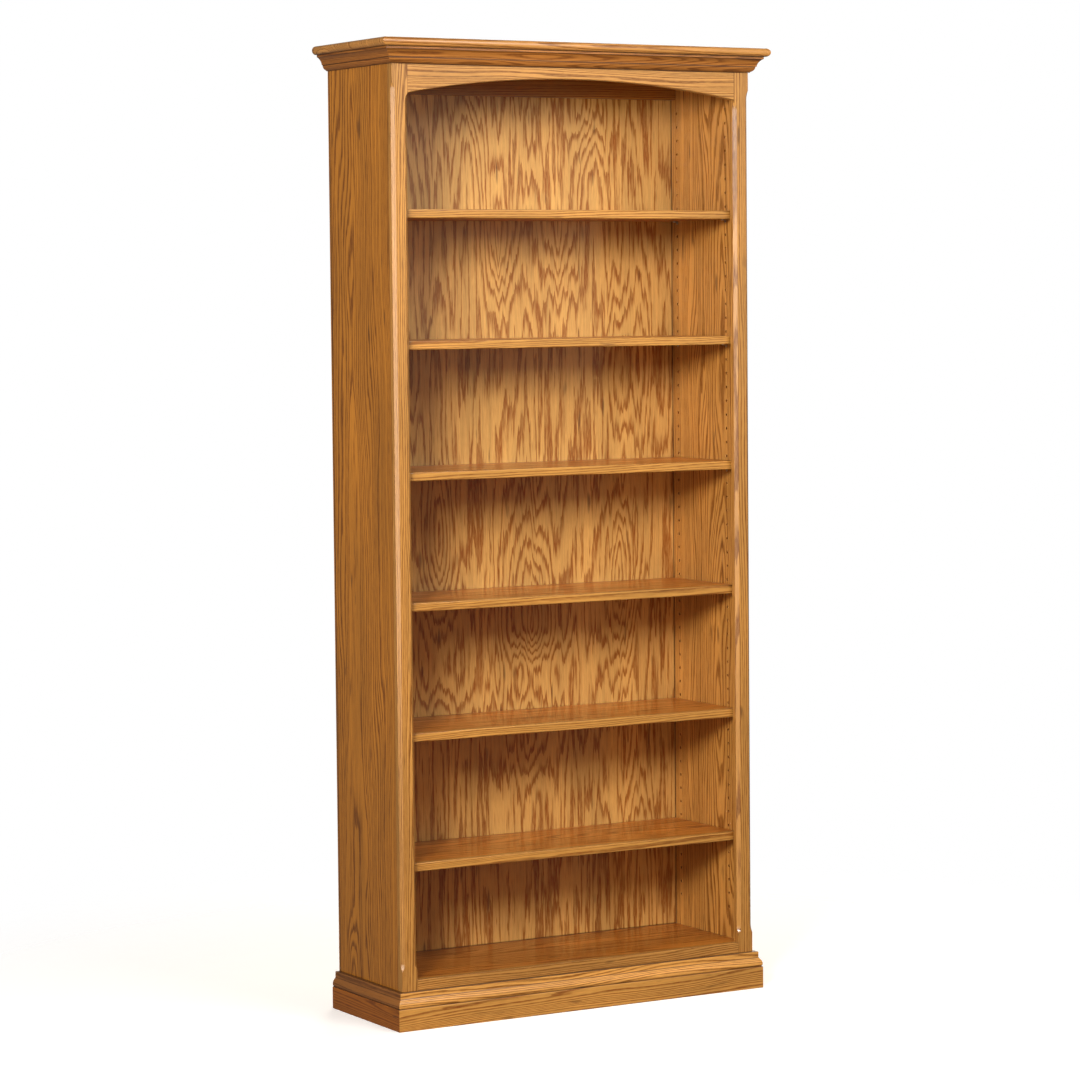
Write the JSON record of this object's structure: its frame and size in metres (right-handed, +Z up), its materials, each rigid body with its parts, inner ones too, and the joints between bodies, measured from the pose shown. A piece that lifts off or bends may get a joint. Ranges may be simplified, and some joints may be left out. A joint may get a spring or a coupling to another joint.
{
  "type": "bookcase with adjustable shelves",
  "caption": "Tall open oak bookcase with a face frame, arched top rail, moulded crown and base, and adjustable shelves that rest on pins in rows of holes.",
  "frame": {"origin": "on the floor, in the middle of the whole bookcase's box", "axes": "+Z up, +X to the right seen from the open front, +Y towards the back; the open front faces -Y"},
  "size_m": [0.9906, 0.343, 2.1558],
  "materials": {
    "solid_oak": "satin",
    "oak_plywood": "satin",
    "oak_back_plywood": "satin",
    "raw_wood": "matte",
    "zinc_steel": "satin"
  },
  "bodies": {
    "case": {"left_side_panel": "oak_plywood", "right_side_panel": "oak_plywood", "fixed_top_panel": "oak_plywood", "floor_panel": "oak_plywood", "back_panel": "oak_back_plywood", "hanging_cleat": "solid_oak", "left_stile": "solid_oak", "right_stile": "solid_oak", "arched_top_rail": "solid_oak", "bottom_rail": "solid_oak", "top_board": "solid_oak", "crown_front": "solid_oak", "crown_left": "solid_oak", "crown_right": "solid_oak", "base_cap_front": "solid_oak", "base_cap_left": "solid_oak", "base_cap_right": "solid_oak", "base_board_front": "solid_oak", "base_board_left": "solid_oak", "base_board_right": "solid_oak", "base_glue_blocks": "raw_wood", "face_frame_dowels": "raw_wood", "top_board_screws": "zinc_steel", "back_panel_screws": "zinc_steel"},
    "adjustable_shelf_1": {"shelf_1": "oak_plywood", "shelf_edge_1": "solid_oak"},
    "left_pins_1": {"shelf_pins_left_1": "zinc_steel"},
    "right_pins_1": {"shelf_pins_right_1": "zinc_steel"},
    "adjustable_shelf_2": {"shelf_2": "oak_plywood", "shelf_edge_2": "solid_oak"},
    "left_pins_2": {"shelf_pins_left_2": "zinc_steel"},
    "right_pins_2": {"shelf_pins_right_2": "zinc_steel"},
    "adjustable_shelf_3": {"shelf_3": "oak_plywood", "shelf_edge_3": "solid_oak"},
    "left_pins_3": {"shelf_pins_left_3": "zinc_steel"},
    "right_pins_3": {"shelf_pins_right_3": "zinc_steel"},
    "adjustable_shelf_4": {"shelf_4": "oak_plywood", "shelf_edge_4": "solid_oak"},
    "left_pins_4": {"shelf_pins_left_4": "zinc_steel"},
    "right_pins_4": {"shelf_pins_right_4": "zinc_steel"},
    "adjustable_shelf_5": {"shelf_5": "oak_plywood", "shelf_edge_5": "solid_oak"},
    "left_pins_5": {"shelf_pins_left_5": "zinc_steel"},
    "right_pins_5": {"shelf_pins_right_5": "zinc_steel"},
    "adjustable_shelf_6": {"shelf_6": "oak_plywood", "shelf_edge_6": "solid_oak"},
    "left_pins_6": {"shelf_pins_left_6": "zinc_steel"},
    "right_pins_6": {"shelf_pins_right_6": "zinc_steel"}
  },
  "joints": [
    {"name": "shelf_1_lift", "type": "slide", "parent": "case", "child": "adjustable_shelf_1", "axis": [0, 0, 1], "range_m": [0, 0.254]},
    {"name": "left_pins_1_pull", "type": "slide", "parent": "case", "child": "left_pins_1", "axis": [1, 0, 0], "range_m": [0, 0.012]},
    {"name": "right_pins_1_pull", "type": "slide", "parent": "case", "child": "right_pins_1", "axis": [-1, 0, 0], "range_m": [0, 0.012]},
    {"name": "shelf_2_lift", "type": "slide", "parent": "case", "child": "adjustable_shelf_2", "axis": [0, 0, 1], "range_m": [0, 0.254]},
    {"name": "left_pins_2_pull", "type": "slide", "parent": "case", "child": "left_pins_2", "axis": [1, 0, 0], "range_m": [0, 0.012]},
    {"name": "right_pins_2_pull", "type": "slide", "parent": "case", "child": "right_pins_2", "axis": [-1, 0, 0], "range_m": [0, 0.012]},
    {"name": "shelf_3_lift", "type": "slide", "parent": "case", "child": "adjustable_shelf_3", "axis": [0, 0, 1], "range_m": [0, 0.254]},
    {"name": "left_pins_3_pull", "type": "slide", "parent": "case", "child": "left_pins_3", "axis": [1, 0, 0], "range_m": [0, 0.012]},
    {"name": "right_pins_3_pull", "type": "slide", "parent": "case", "child": "right_pins_3", "axis": [-1, 0, 0], "range_m": [0, 0.012]},
    {"name": "shelf_4_lift", "type": "slide", "parent": "case", "child": "adjustable_shelf_4", "axis": [0, 0, 1], "range_m": [0, 0.254]},
    {"name": "left_pins_4_pull", "type": "slide", "parent": "case", "child": "left_pins_4", "axis": [1, 0, 0], "range_m": [0, 0.012]},
    {"name": "right_pins_4_pull", "type": "slide", "parent": "case", "child": "right_pins_4", "axis": [-1, 0, 0], "range_m": [0, 0.012]},
    {"name": "shelf_5_lift", "type": "slide", "parent": "case", "child": "adjustable_shelf_5", "axis": [0, 0, 1], "range_m": [0, 0.254]},
    {"name": "left_pins_5_pull", "type": "slide", "parent": "case", "child": "left_pins_5", "axis": [1, 0, 0], "range_m": [0, 0.012]},
    {"name": "right_pins_5_pull", "type": "slide", "parent": "case", "child": "right_pins_5", "axis": [-1, 0, 0], "range_m": [0, 0.012]},
    {"name": "shelf_6_lift", "type": "slide", "parent": "case", "child": "adjustable_shelf_6", "axis": [0, 0, 1], "range_m": [0, 0.254]},
    {"name": "left_pins_6_pull", "type": "slide", "parent": "case", "child": "left_pins_6", "axis": [1, 0, 0], "range_m": [0, 0.012]},
    {"name": "right_pins_6_pull", "type": "slide", "parent": "case", "child": "right_pins_6", "axis": [-1, 0, 0], "range_m": [0, 0.012]}
  ]
}
